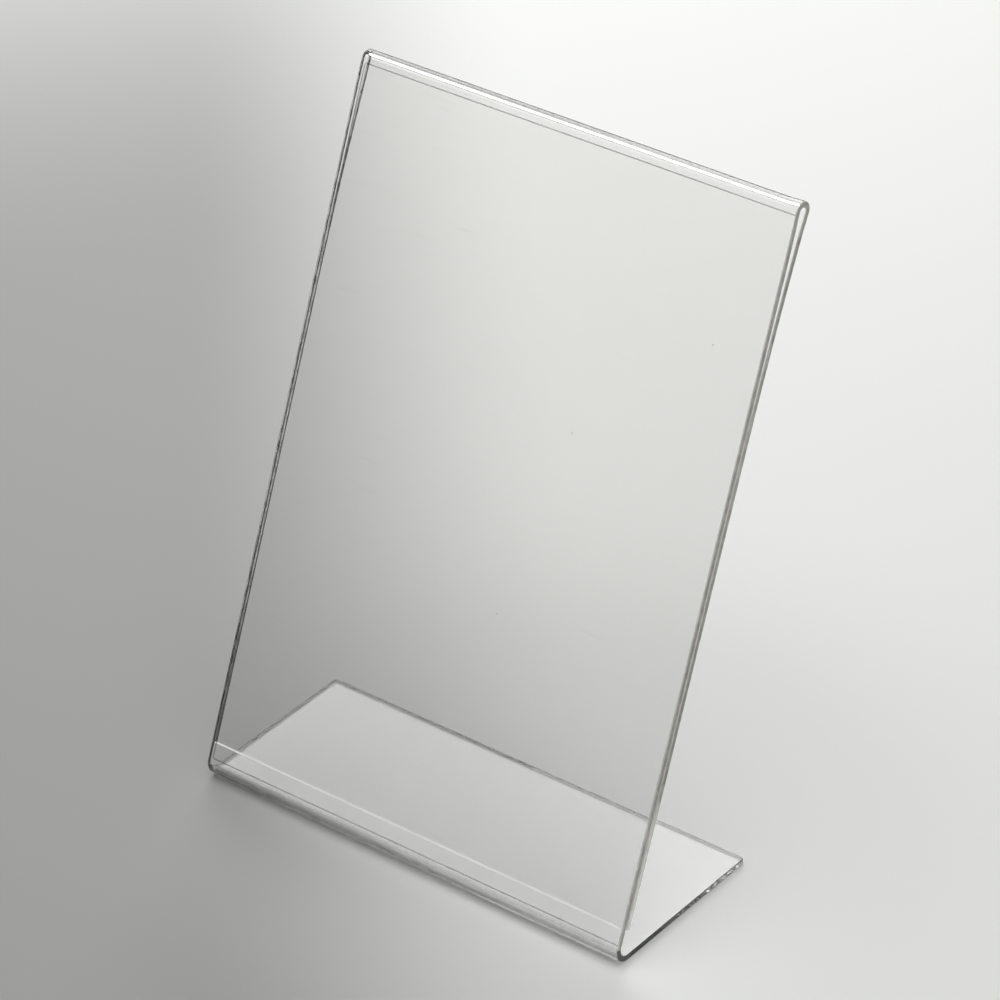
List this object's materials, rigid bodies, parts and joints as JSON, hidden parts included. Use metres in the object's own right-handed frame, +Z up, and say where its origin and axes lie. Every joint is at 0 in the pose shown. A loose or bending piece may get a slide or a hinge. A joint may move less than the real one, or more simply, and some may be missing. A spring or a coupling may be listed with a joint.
{
  "type": "sign stand",
  "caption": "Slant-back tabletop sign stand: one clear acrylic sheet heat-bent into a base, a leaning display panel and a back flap, with a clear page that slides in from the side.",
  "frame": {"origin": "middle of the base's underside", "axes": "+Z up, -Y towards the reader, X along the bends"},
  "size_m": [0.212, 0.125, 0.2864],
  "materials": {
    "clear_acrylic": "clear, polished faces, smooth cut edges with a faint green-grey tint",
    "clear_film": "clear thin film, glossy"
  },
  "bodies": {
    "stand": {"folded_sheet": "clear_acrylic"},
    "sign": {"sign_insert": "clear_film"}
  },
  "joints": [
    {"name": "sign_slide", "type": "slide", "parent": "stand", "child": "sign", "axis": [1, 0, 0], "range_m": [-0.212, 0.212]}
  ]
}
